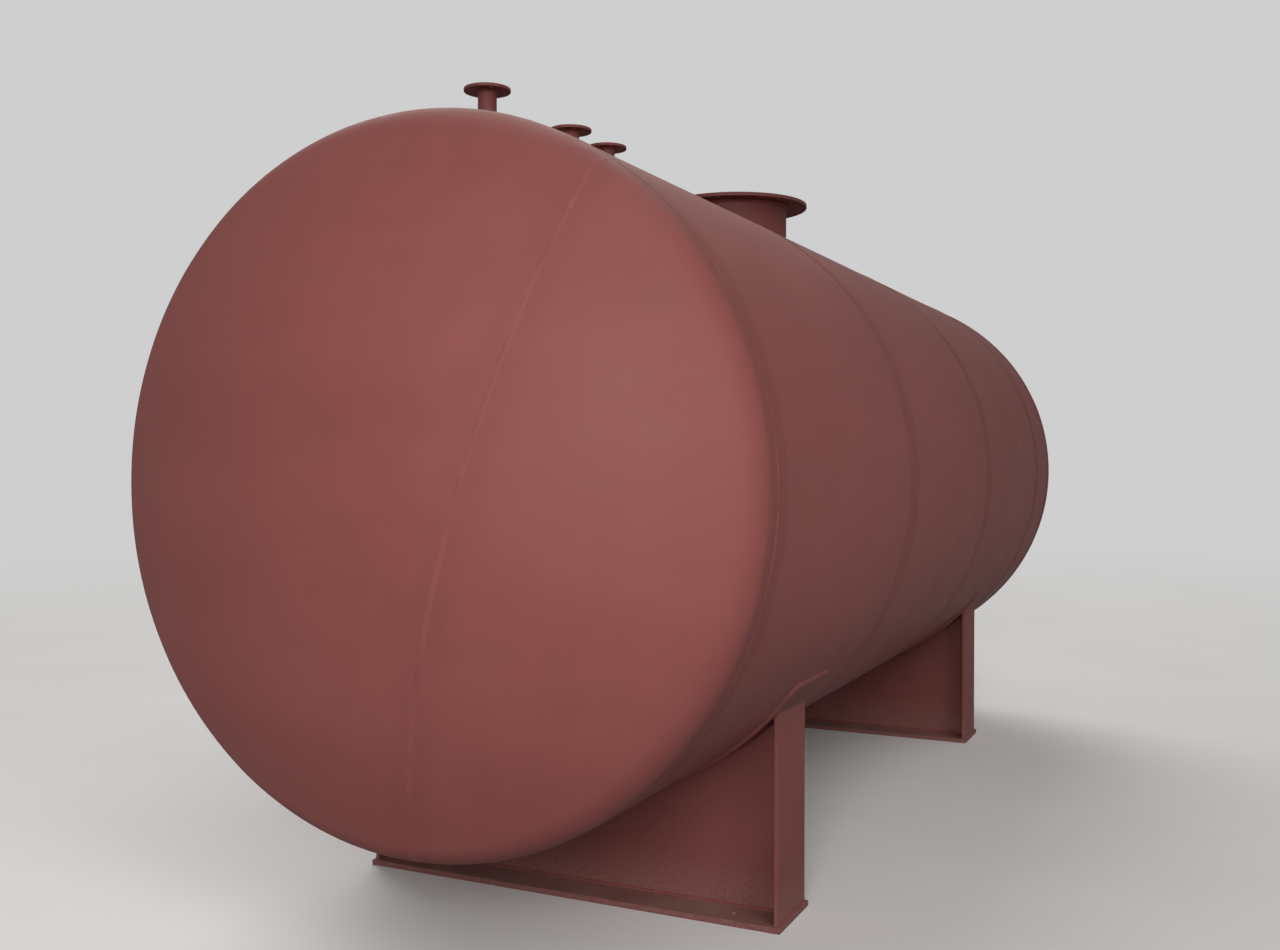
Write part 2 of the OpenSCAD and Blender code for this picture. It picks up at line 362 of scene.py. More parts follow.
def rusty_steel(name, share):
    """Bare plate with mill scale and a bloom of rust over a share of it."""
    f = Finish(name)
    low, high = (edge - share / 2 for edge in BLOOM_EDGES)
    bloom = f.noise(**BLOOM, edges=(low, high))
    fine = f.noise(**FINE_RUST)
    rust = f.mix(f.ramp(fine, *FINE_EDGES), RUST, RUST_LIGHT)
    colour = f.mix(bloom, STEEL, rust)
    rough = f.ramp(bloom, 0, 1, *STEEL_ROUGH)
    metal = f.ramp(bloom, 0, FULL_RUST, STEEL_METAL, 0.0)
    f.connect(Base_Color=colour, Roughness=rough, Metallic=metal, Normal=f.bumped([(fine, RUST_H)]))
    return f.material


def weld_finish(name, tone, deep, rust):
    """Primer over weld metal, with rust that comes through in its hollows."""
    f = Finish(name)
    patches = f.noise(**PATCHES)
    colour = f.lay(f.mix(patches, deep, tone), f.noise(**HOLLOWS), rust, RUST)
    rough = f.ramp(patches, 0, 1, *WELD_ROUGH)
    f.connect(Base_Color=colour, Roughness=rough, Normal=f.bumped([(f.noise(**GRAINS), GRAIN_H)]))
    f.connect(Specular_IOR_Level=MATT)
    return f.material


SHELL = primer("shell_primer_finish", SHELL_TONE, SHELL_DEEP, dusty=0.25, welded=True)
FITTING = primer("fitting_primer_finish", FITTING_TONE, FITTING_DEEP, dusty=0.35)
SADDLE = primer("saddle_primer_finish", SADDLE_TONE, SADDLE_DEEP, dusty=0.5, splash=0.4)
HEAD_WELD = weld_finish("head_weld_finish", SHELL_TONE, SHELL_DEEP, 0.15)
SHELL_WELD = weld_finish("shell_weld_finish", WELD_TONE, WELD_DEEP, 0.4)
SADDLE_WELD = weld_finish("saddle_weld_finish", SADDLE_TONE, WELD_DEEP, 0.4)
INSIDE = rusty_steel("inside_finish", 0.75)
FACE = rusty_steel("flange_face_finish", 0.6)
FINISH_OF_SLOT = {"shell_primer": SHELL, "fitting_primer": FITTING, "saddle_primer": SADDLE}

for part in frame["record"]["subparts"]:
    for material_slot in frame["nodes"][part["node"]].material_slots:
        material_slot.material = FINISH_OF_SLOT[part["material_slot"]]


# Meshes

def grid_faces(index, closed):
    """Quads between the rows of a grid of vertex numbers; closed joins its last column to its first."""
    if closed:
        index = np.concatenate([index, index[:, :1]], 1)
    quads = np.stack([index[:-1, :-1], index[1:, :-1], index[1:, 1:], index[:-1, 1:]], -1)
    return quads.reshape(-1, 4).tolist()


def filled(loops, extra=()):
    """Triangles between an outer loop and its round holes, as numbers of all the points put end to end."""
    points = [Vector(p) for loop in loops for p in loop] + [Vector(p) for p in extra]
    edges = []
    start = 0
    for loop in loops:
        edges += [(start + i, start + (i + 1) % len(loop)) for i in range(len(loop))]
        start += len(loop)
    only_inside, nearness = 1, 1e-9
    result = delaunay_2d_cdt(points, edges, [], only_inside, nearness)
    triangles = [tuple(result[3][i][0] for i in triangle) for triangle in result[2]]
    owner = [number for number, loop in enumerate(loops) for _ in loop] + [0] * len(extra)
    return [t for t in triangles if not owner[t[0]] == owner[t[1]] == owner[t[2]] > 0]


def merged(points, outs, faces):
    """The same mesh, with the vertices that coincide made one."""
    _, first, new = np.unique(np.round(points, 6), axis=0, return_index=True, return_inverse=True)
    new = new.reshape(-1)
    kept = [tuple(dict.fromkeys(new[list(face)].tolist())) for face in faces]
    return points[first], outs[first], [face for face in kept if len(face) > 2]


def thickened(points, outs, faces, thickness):
    """A closed mesh from a sheet, and for each of its faces, 0 on the outside and 1 elsewhere."""
    points, outs, faces = merged(points, outs, faces)
    count = len(points)
    sides = {(face[i - 1], face[i]) for face in faces for i in range(len(face))}
    rims = [(a, b) for a, b in sides if (b, a) not in sides]
    inner = [tuple(i + count for i in reversed(face)) for face in faces]
    walls = [(b, a, a + count, b + count) for a, b in sorted(rims)]
    layer = [0] * len(faces) + [1] * (len(inner) + len(walls))
    return np.vstack([points, points - outs * thickness]), faces + inner + walls, layer


def inset(loop, distance):
    """A closed outline moved to its left, into the material, by a distance."""
    before = unit(loop - np.roll(loop, 1, 0))
    after = unit(np.roll(loop, -1, 0) - loop)
    left = (before + after)[:, ::-1] * [-1, 1]
    return loop + left * distance / (1 + (before * after).sum(1))[:, None]


def rounded_plate(loops, thickness, place, extra=()):
    """A flat or bent plate with rounded edges, and for each of its faces, 1 on the upper side or 0.

    The outer loop runs counterclockwise and holes run clockwise; place(u, v, w) puts the plate in its place.
    """
    turns = np.radians([90, 60, 30, 0])
    inner = EDGE_R * (1 - np.cos(turns))
    lower = EDGE_R * (1 - np.sin(turns))
    levels = list(zip(inner, lower)) + list(zip(inner[::-1], thickness - lower[::-1]))
    flat, faces, bottom, top = [], [], [], []
    count = 0
    for loop in loops:
        rings = [np.column_stack([inset(loop, d), np.full(len(loop), w)]) for d, w in levels]
        index = count + np.arange(len(levels) * len(loop)).reshape(len(levels), len(loop))
        faces += grid_faces(index, True)
        bottom += index[0].tolist()
        top += index[-1].tolist()
        flat += rings
        count += index.size
    extra = np.asarray(extra, float).reshape(-1, 2)
    for height, numbers in ((0, bottom), (thickness, top)):
        flat.append(np.column_stack([extra, np.full(len(extra), height)]))
        numbers.extend(range(count, count + len(extra)))
        count += len(extra)
    cap = filled([inset(loop, EDGE_R) for loop in loops], extra)
    upper = [tuple(top[i] for i in face) for face in cap]
    under = [tuple(bottom[i] for i in reversed(face)) for face in cap]
    layer = [0] * (len(faces) + len(under)) + [1] * len(upper)
    return place(*np.vstack(flat).T), faces + under + upper, layer


def add_piece(name, vertices, faces, finishes, replaced=(), layer=None):
    """A closed mesh piece that rides on the tank."""
    mesh = bpy.data.meshes.new(name)
    mesh.from_pydata(np.asarray(vertices).tolist(), [], faces)
    for finish in finishes:
        mesh.materials.append(finish)
    if layer is not None and len(finishes) > 1:
        mesh.polygons.foreach_set("material_index", layer)
    shape = bmesh.new()
    shape.from_mesh(mesh)
    bmesh.ops.recalc_face_normals(shape, faces=shape.faces)
    shape.to_mesh(mesh)
    shape.free()
    mesh.polygons.foreach_set("use_smooth", np.ones(len(mesh.polygons), bool))
    mesh.set_sharp_from_angle(angle=math.radians(SHARP_DEG))
    piece = bpy.data.objects.new(name, mesh)
    bpy.context.scene.collection.objects.link(piece)
    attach(piece, "root")
    if replaced:
        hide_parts(*replaced)
    return piece


def add_plate(name, loops, thickness, place, finishes, extra=()):
    """A rounded plate that stands for the node of its name."""
    vertices, faces, layer = rounded_plate(loops, thickness, place, extra)
    piece = add_piece(f"{name}_piece", vertices, faces, finishes, [name], layer)
    normals = piece.modifiers.new("flat_faces", "WEIGHTED_NORMAL")
    normals.keep_sharp = True
    normals.weight = 100


def steps_round(radius, steps):
    """Steps round a circle, from a pair for narrow and wide ones."""
    return steps[1] if radius > WIDE_R else steps[0]


def circle(radius, centre=(0, 0), steps=HOLE_STEPS, way=1):
    """Outline of a circle: counterclockwise, or clockwise for a hole, with way -1."""
    t = way * np.linspace(0, 2 * math.pi, steps, endpoint=False)
    return np.column_stack([centre[0] + radius * np.cos(t), centre[1] + radius * np.sin(t)])


def rounded_rectangle(half_u, half_v, radius, step):
    """Outline with round corners, counterclockwise, with points about a step apart along its sides."""
    corners = []
    for su, sv, start in ((1, -1, -90), (1, 1, 0), (-1, 1, 90), (-1, -1, 180)):
        t = np.radians(np.linspace(start, start + 90, CORNER_POINTS))
        centre = (su * (half_u - radius), sv * (half_v - radius))
        corners.append(np.column_stack([centre[0] + radius * np.cos(t), centre[1] + radius * np.sin(t)]))
    loop = []
    for corner, following in zip(corners, corners[1:] + corners[:1]):
        count = max(2, round(np.linalg.norm(following[0] - corner[-1]) / step))
        loop += [corner, np.linspace(corner[-1], following[0], count + 1)[1:-1]]
    return np.vstack(loop)


# Form of the plates

# Marks of shaping: height in metres, waves a metre along X, Y and Z, and where the pattern starts.
SOFT = (0.0012, (1.3, 1.7, 1.7), 3.1)
ROLLED = (0.0006, (0.4, 4.4, 4.4), 11.7)
PRESSED = (0.0007, (4.5, 4.5, 4.5), 27.3)

# How far a weld pulls the plates in, how far that reaches either way, and where it fades, in metres.
GIRTH_PULL_H = 0.0012
WELD_PULL_H = 0.0010
PULL_REACH = 0.05
LONG_PULL_REACH = 0.06
LONG_PULL_FADE = 0.1
HEAD_FADE = 0.12


def marks(points, height, waves, shift):
    """Smooth random heights through space, up to a height either way."""
    return height * np.array([noise.noise(Vector(p)) for p in points * np.asarray(waves) + shift])


def ease(value, low, high):
    """From 0 to 1 while value goes from low to high."""
    t = np.clip((value - low) / (high - low), 0, 1)
    return t * t * (3 - 2 * t)


def stand_out(points):
    """How far the plates stand out from their true form: rolling marks, and the pull of the welds."""
    x, y, z = (points - AXIS).T
    on_head = ease(abs(x), SHELL_END, SHELL_END + HEAD_FADE)
    pull = sum(np.exp(-((x - seam) / PULL_REACH) ** 2) for seam in SEAMS_X)
    chord = -y * math.cos(HEAD_WELD_LEAN) + np.sign(x) * z * math.sin(HEAD_WELD_LEAN) - HEAD_WELD_OFF
    chord_pull = np.exp(-(chord / PULL_REACH) ** 2)
    long_pull = 0
    for start, end, degrees in zip(SEAMS_X, SEAMS_X[1:], LONG_WELD_DEG):
        inside = ease(x, start, start + LONG_PULL_FADE) * ease(-x, -end, LONG_PULL_FADE - end)
        from_weld = SHELL_R * (np.arctan2(y, z) - math.radians(degrees))
        long_pull = long_pull + inside * np.exp(-(from_weld / LONG_PULL_REACH) ** 2)
    on_shell = marks(points, *ROLLED) - WELD_PULL_H * long_pull
    on_dish = marks(points, *PRESSED) - WELD_PULL_H * chord_pull
    return marks(points, *SOFT) - GIRTH_PULL_H * pull + (1 - on_head) * on_shell + on_head * on_dish


def settled(points, outs):
    """Points on the true form moved out or in with the plates."""
    return points + outs * stand_out(points)[:, None]


def around(x, angle, radius=SHELL_R):
    """Points round the tank axis and their outward directions, with angle 0 on the crown."""
    outs = stack(0 * x, np.sin(angle), np.cos(angle))
    return stack(x, 0, 0) + outs * radius + AXIS, outs


def course_plate(name, start, end, openings):
    """A rolled plate ring, worked out flat and bent round; openings are pairs of an X and a radius."""
    half = math.pi * SHELL_R
    along = np.linspace(start, end, max(4, round((end - start) / GRID)) + 1)
    over = np.linspace(-half, half, ROUND_STEPS + 1)
    outline = [(x, -half) for x in along[:-1]] + [(end, s) for s in over[:-1]]
    outline += [(x, half) for x in along[:0:-1]] + [(start, s) for s in over[:0:-1]]
    loops = [np.array(outline)]
    points = np.array([(x, s) for x in along[1:-1] for s in over[1:-1]])
    for x, radius in openings:
        ring = circle(radius, steps=steps_round(radius, OPENING_STEPS), way=-1)
        loops.append(np.column_stack([x + ring[:, 0], SHELL_R * np.arcsin(ring[:, 1] / SHELL_R)]))
        points = points[np.hypot(points[:, 0] - x, points[:, 1]) > radius + GRID_CLEAR]
    flat = np.vstack(loops + [points])
    places, outs = around(flat[:, 0], flat[:, 1] / SHELL_R)
    vertices, faces, layer = thickened(settled(places, outs), outs, filled(loops, points), SHELL_T)
    add_piece(f"{name}_plate", vertices, faces, [SHELL, INSIDE], [name], layer)


def head_profile():
    """Outside of a dished head: distance from the axis, height past the tangent line, tilt of its normal."""
    straight = np.linspace(-STRAIGHT_L, 0, STRAIGHT_POINTS)[:-1]
    knuckle = np.linspace(0, math.pi / 2 - CROWN_ANGLE, KNUCKLE_POINTS)[:-1]
    crown = math.pi / 2 - np.linspace(CROWN_ANGLE, 0, CROWN_POINTS)
    tilt = [0 * straight, knuckle, crown]
    distance = [tilt[0] + SHELL_R, SHELL_R - KNUCKLE_R * (1 - np.cos(knuckle)), CROWN_R * np.cos(crown)]
    height = [straight, KNUCKLE_R * np.sin(knuckle), CROWN_R * np.sin(crown) - CROWN_DROP]
    return (np.concatenate(part) for part in (distance, height, tilt))


def head_plate(name, side):
    """Dished head, turned round the tank axis; side is -1 for the near head and 1 for the far head."""
    distance, height, tilt = (part[:, None] for part in head_profile())
    turn = np.linspace(0, 2 * math.pi, ROUND_STEPS, endpoint=False)[None, :]
    places = stack(side * (TANGENT_X + height), distance * np.sin(turn), distance * np.cos(turn)) + AXIS
    outs = stack(side * np.sin(tilt), np.cos(tilt) * np.sin(turn), np.cos(tilt) * np.cos(turn))
    faces = grid_faces(np.arange(places[..., 0].size).reshape(places.shape[:2]), True)
    places, outs = places.reshape(-1, 3), outs.reshape(-1, 3)
    vertices, faces, layer = thickened(settled(places, outs), outs, faces, HEAD_T)
    add_piece(f"{name}_plate", vertices, faces, [SHELL, INSIDE], [name], layer)


# Weld beads

# Ripples, the runs between two stops, the fade at both ends, how deep the root sinks, and a fillet's crown.
RIPPLE = 0.006
RIPPLE_H = 0.00035
RIPPLE_BOW = 0.45
STEP = RIPPLE / 3
RUN_L = 0.34
STOP_L = 0.006
STOP_LUMP = 0.45
END_L = 0.004
END_SHARE = 0.25
SINK = 0.0016
FILLET_CROWN = 0.12

# Paths: step in metres and least steps round a circle, and points along the others.
PATH_STEP = 0.01
LEAST_STEPS = 24
LINE_POINTS = 40
LONG_POINTS = 60
CHORD_POINTS = 400
UNDER_WEAR_POINTS = 160

# Points across the face of a bead.
CAP_FACE = 6
FILLET_FACE = 5

# Straight ends of a head's weld, on its skirt: points, and how far from the tangent line they stop.
SKIRT_POINTS = 12
SKIRT_CLEAR = 0.001

# Seeds of the welds' unevenness, and the steps between two of a kind.
GIRTH_SEED_STEP = 10
LONG_SEED = 70
HEAD_SEED = 90
FITTING_SEED = 300
FITTING_SEED_STEP = 20
NEAR_SADDLE_SEED = 400
FAR_SADDLE_SEED = 430

# How unevenly a bead runs: the share of its width or height, and the wave length.
WIDER = (0.07, 0.045)
FULLER = (0.22, 0.11)


def wander(count, step, wave, seed):
    """Smooth random numbers from -1 to 1 along a path, with a given wave length."""
    random = np.random.RandomState(seed)
    knots = random.uniform(-1, 1, int(count * step / wave) + 3)
    at = np.linspace(0, len(knots) - 1.001, count)
    left = at.astype(int)
    t = at - left
    t = t * t * (3 - 2 * t)
    return knots[left] * (1 - t) + knots[left + 1] * t


def even_steps(points, sides, ups, closed):
    """A path and its two directions at even steps, and the distance along it."""
    if closed:
        points, sides, ups = (np.vstack([a, a[:1]]) for a in (points, sides, ups))
    length = np.concatenate([[0], np.cumsum(np.linalg.norm(np.diff(points, axis=0), axis=1))])
    count = max(4, int(round(length[-1] / STEP)))
    at = np.linspace(0, length[-1], count + 1)
    if closed:
        at = at[:-1]
    points, sides, ups = (
        np.stack([np.interp(at, length, column) for column in a.T], 1) for a in (points, sides, ups))
    return points, unit(sides), unit(ups), at


def bead_face(low, high, at, closed, seed, lift, points):
    """Section of a bead's face at every step, as offsets from low to high, raised by lift and rippled."""
    count = len(at)
    u = np.linspace(0, 1, points)[None, :]
    size = 1 + WIDER[0] * wander(count, STEP, WIDER[1], seed)[:, None]
    fuller = 1 + FULLER[0] * wander(count, STEP, FULLER[1], seed + 1)[:, None]
    start = at % RUN_L
    stop = np.exp(-((np.minimum(start, RUN_L - start) / STOP_L) ** 2))[:, None]
    crown = 4 * u * (1 - u)
    crest = 1 - ((at[:, None] / RIPPLE + RIPPLE_BOW * (2 * u - 1) ** 2) % 1)
    raised = lift * crown * (fuller + STOP_LUMP * stop) + RIPPLE_H * (crest - 0.5) * np.sqrt(crown)
    base = low * (1 - u[..., None]) + high * u[..., None]
    out = unit(np.abs((high - low)[::-1]))
    fade = 1.0
    if not closed:
        fade = np.clip(np.minimum(at, at[-1] - at) / END_L, END_SHARE, 1)[:, None, None]
    return (base * size[..., None] + raised[..., None] * out) * fade


def bead(points, sides, ups, closed, seed, toes, lift, face_points=CAP_FACE):
    """Vertices and faces of one bead; toes are its two edges, as offsets along sides and ups."""
    points, sides, ups, at = even_steps(points, sides, ups, closed)
    low, high = (np.array(toe, float) for toe in toes)
    face = bead_face(low, high, at, closed, seed, lift, face_points)
    if high[1] > low[1]:
        root = np.array([[-SINK, high[1]], [-SINK, -SINK], [low[0], -SINK]])
    else:
        root = np.array([[high[0], -SINK], [low[0], -SINK]])
    section = np.concatenate([face, np.tile(root, (len(at), 1, 1))], 1)
    vertices = points[:, None] + section[..., :1] * sides[:, None] + section[..., 1:] * ups[:, None]
    index = np.arange(section[..., 0].size).reshape(section.shape[:2])
    if closed:
        return vertices.reshape(-1, 3), grid_faces(np.vstack([index, index[:1]]), True)
    ends = [index[0].tolist(), index[-1][::-1].tolist()]
    return vertices.reshape(-1, 3), grid_faces(index, True) + ends


def join_beads(name, beads, finish, replaced=()):
    """One piece from several beads."""
    vertices, faces = [], []
    count = 0
    for points, quads in beads:
        vertices.append(points)
        faces += [[i + count for i in quad] for quad in quads]
        count += len(points)
    return add_piece(name, np.vstack(vertices), faces, [finish], replaced)


def cap(points, sides, ups, closed, seed, width=CAP_W, height=CAP_H):
    """Cap of a butt weld on the plates of the shell or a head."""
    return bead(settled(points, ups), sides, ups, closed, seed, ((-width / 2, 0), (width / 2, 0)), height)


def fillet(points, side, up, closed, seed, leg):
    """Fillet weld in a corner whose two plates run along side and up, given once or for every point."""
    sides, ups = (rows(v, len(points)) if np.ndim(v) == 1 else v for v in (side, up))
    return bead(points, sides, ups, closed, seed, ((leg, 0), (0, leg)), leg * FILLET_CROWN, FILLET_FACE)


def line(start, end, count=LINE_POINTS):
    """Points along a straight line."""
    return np.linspace(start, end, count)


def full_turn(radius):
    """Angles round a circle, with points about a step apart."""
    count = max(LEAST_STEPS, int(2 * math.pi * radius / PATH_STEP))
    return np.linspace(0, 2 * math.pi, count, endpoint=False)


def girth_weld(number, x):
    """Cap round the tank at one seam."""
    points, outs = around(x, full_turn(SHELL_R))
    weld = cap(points, rows(X, len(points)), outs, True, GIRTH_SEED_STEP * number)
    join_beads(f"girth_weld_{number}_bead", [weld], SHELL_WELD, [f"girth_weld_{number}"])


def long_weld(number, start, end, degrees):
    """Cap along one course, between the girth welds at its ends."""
    x = line(start + CAP_W / 2, end - CAP_W / 2, LONG_POINTS)
    points, outs = around(x, 0 * x + math.radians(degrees))
    weld = cap(points, unit(np.cross(X, outs)), outs, False, LONG_SEED + number)
    join_beads(f"long_weld_{number}_bead", [weld], SHELL_WELD, [f"long_weld_{number}"])


def head_at(r):
    """Height past the tangent line and tilt of the normal of a dished head, at distances r from the axis."""
    distance, height, tilt = head_profile()
    bowl = distance < SHELL_R
    known_r = np.append(distance[bowl][::-1], SHELL_R)
    return (np.interp(r, known_r, np.append(values[bowl][::-1], 0)) for values in (height, tilt))


def head_weld(name, side):
    """Cap that joins a head's two plates; side is -1 for the near head and 1 for the far head."""
    half = math.sqrt(SHELL_R ** 2 - HEAD_WELD_OFF ** 2)
    t = half * np.sin(np.linspace(-math.pi / 2, math.pi / 2, CHORD_POINTS))
    y = -t * math.sin(HEAD_WELD_LEAN) - HEAD_WELD_OFF * math.cos(HEAD_WELD_LEAN)
    z = -side * (t * math.cos(HEAD_WELD_LEAN) - HEAD_WELD_OFF * math.sin(HEAD_WELD_LEAN))
    r = np.minimum(np.hypot(y, z), SHELL_R)
    height, tilt = head_at(r)
    round_out = stack(0, y, z) / r[:, None]
    points = stack(side * (TANGENT_X + height), y, z) + AXIS
    outs = np.cos(tilt)[:, None] * round_out + np.sin(tilt)[:, None] * side * X
    skirt = line(STRAIGHT_L - CAP_W / 2, SKIRT_CLEAR, SKIRT_POINTS)[:, None] * side * X
    points = np.vstack([points[0] - skirt, points, points[-1] - skirt[::-1]])
    outs = unit(np.vstack([rows(round_out[0], SKIRT_POINTS), outs, rows(round_out[-1], SKIRT_POINTS)]))
    sides = unit(np.cross(np.gradient(points, axis=0), outs))
    weld = cap(points, sides, outs, False, HEAD_SEED + side, HEAD_CAP_W, HEAD_CAP_H)
    join_beads(f"{name}_bead", [weld], HEAD_WELD, [name])


# Flanged fittings on the crown

def round_part(name):
    """X of the middle and radius of an upright round part."""
    low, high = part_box(name)
    return (low.x + high.x) / 2, (high.x - low.x) / 2


class FittingSizes:
    """Sizes of one flanged neck, read from the frame."""

    def __init__(self, neck, flange):
        self.neck = neck
        self.flange = flange
        self.x, self.radius = round_part(neck)
        self.ring_radius = round_part(flange)[1]
        self.foot, self.top = (corner.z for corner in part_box(neck))
        self.ring_foot, self.ring_top = (corner.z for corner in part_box(flange))
        self.steps = steps_round(self.radius, PIPE_STEPS)


def neck_pipe(size, wall):
    """Pipe of a neck, from inside the shell to just under the flange's face."""
    turn = np.linspace(0, 2 * math.pi, size.steps, endpoint=False)
    heights = np.linspace(size.foot, size.top, PIPE_POINTS)[:, None]
    places = stack(size.x + size.radius * np.cos(turn), size.radius * np.sin(turn), heights)
    outs = stack(np.cos(turn), np.sin(turn), 0 * heights)
    faces = grid_faces(np.arange(places[..., 0].size).reshape(places.shape[:2]), True)
    vertices, faces, layer = thickened(places.reshape(-1, 3), outs.reshape(-1, 3), faces, wall)
    finishes = [FITTING, INSIDE]
    add_piece(f"{size.neck}_pipe", vertices, faces, finishes, [size.neck], layer)


def flange_ring(size, count, pitch_d, hole_d):
    """Flat ring round a neck, with its bolt holes astride the tank's middle plane."""
    centre = (size.x, 0)
    loops = [circle(size.ring_radius, centre, size.steps), circle(size.radius, centre, size.steps, -1)]
    for i in range(count):
        angle = (i + 0.5) * 2 * math.pi / count
        hole = (size.x + pitch_d / 2 * math.cos(angle), pitch_d / 2 * math.sin(angle))
        loops.append(circle(hole_d / 2, hole, way=-1))

    def place(u, v, w):
        """Puts the ring, drawn from above, at its height."""
        return stack(u, v, size.ring_foot + w)

    add_plate(size.flange, loops, size.ring_top - size.ring_foot, place, [FITTING, FACE])


def neck_welds(size, wall, leg, seed):
    """The three fillet welds of a neck: on the shell, under the flange, and in the flange's bore."""
    turn = full_turn(size.radius)
    outs = stack(np.cos(turn), np.sin(turn), 0)
    ring = outs * size.radius + X * size.x
    on_shell = ring + Z * (AXIS_Z + np.sqrt(SHELL_R ** 2 - ring[:, 1:2] ** 2))
    normal = unit(on_shell * [0, 1, 1] - AXIS)
    away = unit(outs - (outs * normal).sum(1, keepdims=True) * normal)
    inner_leg = min(size.ring_top - size.top - FACE_CLEAR, wall * FLANGE_SHARE)
    welds = [
        fillet(settled(on_shell, normal), away, Z, True, seed, leg),
        fillet(ring + Z * size.ring_foot, outs, -Z, True, seed + 3, leg * FLANGE_SHARE),
        fillet(ring + Z * size.top, -outs, Z, True, seed + 6, inner_leg),
    ]
    join_beads(f"{size.neck}_welds", welds, SHELL_WELD)


def flanged_neck(neck, flange, wall, bolts, leg, seed):
    """A neck with its flange and welds."""
    size = FittingSizes(neck, flange)
    neck_pipe(size, wall)
    flange_ring(size, *bolts)
    neck_welds(size, wall, leg, seed)


# Saddles

class SaddleSizes:
    """Sizes of one saddle, read from the frame; its half widths reach its ends' outer and inner sides."""

    def __init__(self, name):
        self.name = name
        self.base_low, self.base_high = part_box(f"{name}_base")
        self.web_low, self.web_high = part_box(f"{name}_web")
        self.end_low, self.end_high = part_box(f"{name}_front_plate")
        wear_low, wear_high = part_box(f"{name}_wear_plate")
        self.middle = (self.base_low.x + self.base_high.x) / 2
        self.top = self.base_high.z
        self.half_width = -self.end_low.y
        self.inner_half = self.half_width - END_T
        self.wear_half_x = (wear_high.x - wear_low.x) / 2
        self.wear_half_round = SHELL_R * math.asin(min(1, wear_high.y / WEAR_R))


def under_wear(y):
    """Height of a wear plate's underside at y."""
    return AXIS_Z - np.sqrt(WEAR_R ** 2 - np.asarray(y) ** 2)


def across(x0):
    """Puts a plate that is drawn in Y and Z at x0, with its thickness along X."""
    return lambda u, v, w: stack(x0 + w, u, v)


def bent(u, v, w):
    """Puts a plate that is drawn in X and along the shell's underside round the shell."""
    points, outs = around(u, math.pi - v / SHELL_R)
    return settled(points, outs) + outs * w[:, None]


def saddle_base(size):
    """Base plate with its four anchor holes."""
    (x0, y0, _), (x1, y1, _) = size.base_low, size.base_high
    loops = [np.array([(x0, y0), (x1, y0), (x1, y1), (x0, y1)])]
    for x in (size.middle - ANCHOR_X, size.middle + ANCHOR_X):
        loops += [circle(ANCHOR_D / 2, (x, y), way=-1) for y in (-ANCHOR_Y, ANCHOR_Y)]
    add_plate(f"{size.name}_base", loops, size.top, stack, [SADDLE])


def upright_outline(left, right, top, count):
    """Outline of an upright plate: straight on the base, and round under the wear plate, in count points."""
    y = line(right, left, count)
    return np.vstack([[(left, top), (right, top)], np.column_stack([y, under_wear(y)])])


def saddle_uprights(size):
    """Web and both end plates."""
    outline = upright_outline(-size.inner_half, size.inner_half, size.top, WEB_POINTS)
    thickness = size.web_high.x - size.web_low.x
    add_plate(f"{size.name}_web", [outline], thickness, across(size.web_low.x), [SADDLE])
    outline = upright_outline(size.inner_half, size.half_width, size.top, END_POINTS)
    mirrored = (outline * [-1, 1])[::-1]
    width = size.end_high.x - size.end_low.x
    place = across(size.end_low.x)
    add_plate(f"{size.name}_front_plate", [mirrored], width, place, [SADDLE])
    add_plate(f"{size.name}_rear_plate", [outline], width, place, [SADDLE])


def saddle_wear_plate(size):
    """Wear plate with round corners, bent to the shell."""
    half_u, half_v = size.wear_half_x, size.wear_half_round
    outline = rounded_rectangle(half_u, half_v, WEAR_CORNER_R, GRID)
    u, v = np.meshgrid(line(-half_u, half_u, WEAR_POINTS[0]), line(-half_v, half_v, WEAR_POINTS[1]))
    past_u = np.maximum(abs(u) - half_u + WEAR_CORNER_R, 0)
    past_v = np.maximum(abs(v) - half_v + WEAR_CORNER_R, 0)
    within = np.hypot(past_u, past_v) < WEAR_CORNER_R - CORNER_CLEAR
    inner = np.column_stack([u[within] + size.middle, v[within]])
    loops = [outline + [size.middle, 0]]
    add_plate(f"{size.name}_wear_plate", loops, WEAR_T, bent, [SADDLE], inner)


def web_welds(size, seed):
    """Fillets on both sides of the web: along base and wear plate, and up and across both end plates."""
    reach = math.asin(size.inner_half / WEAR_R)
    height = float(under_wear(size.inner_half))
    turn = line(-reach, reach, UNDER_WEAR_POINTS)
    down = stack(0, np.sin(turn), -np.cos(turn))
    beads = []
    for face, way in ((size.web_low.x, -1), (size.web_high.x, 1)):
        far = size.end_low.x if way < 0 else size.end_high.x
        long_foot = line((face, -size.inner_half, size.top), (face, size.inner_half, size.top))
        beads.append(fillet(long_foot, X * way, Z, False, seed, WEB_LEG))
        beads.append(fillet(down * WEAR_R + AXIS + X * face, X * way, -down, False, seed + 1, WEB_LEG))
        for end in (-1, 1):
            y = end * size.inner_half
            slope = np.array([0, -end * math.cos(reach), -math.sin(reach)])
            upright = line((face, y, size.top), (face, y, height))
            foot = line((face, y, size.top), (far, y, size.top))
            head = line((face, y, height), (far, y, height))
            beads.append(fillet(upright, X * way, -Y * end, False, seed + 2, PLATE_LEG))
            beads.append(fillet(foot, -Y * end, Z, False, seed + 3, PLATE_LEG))
            beads.append(fillet(head, slope, -Z, False, seed + 4, PLATE_LEG))
    return beads


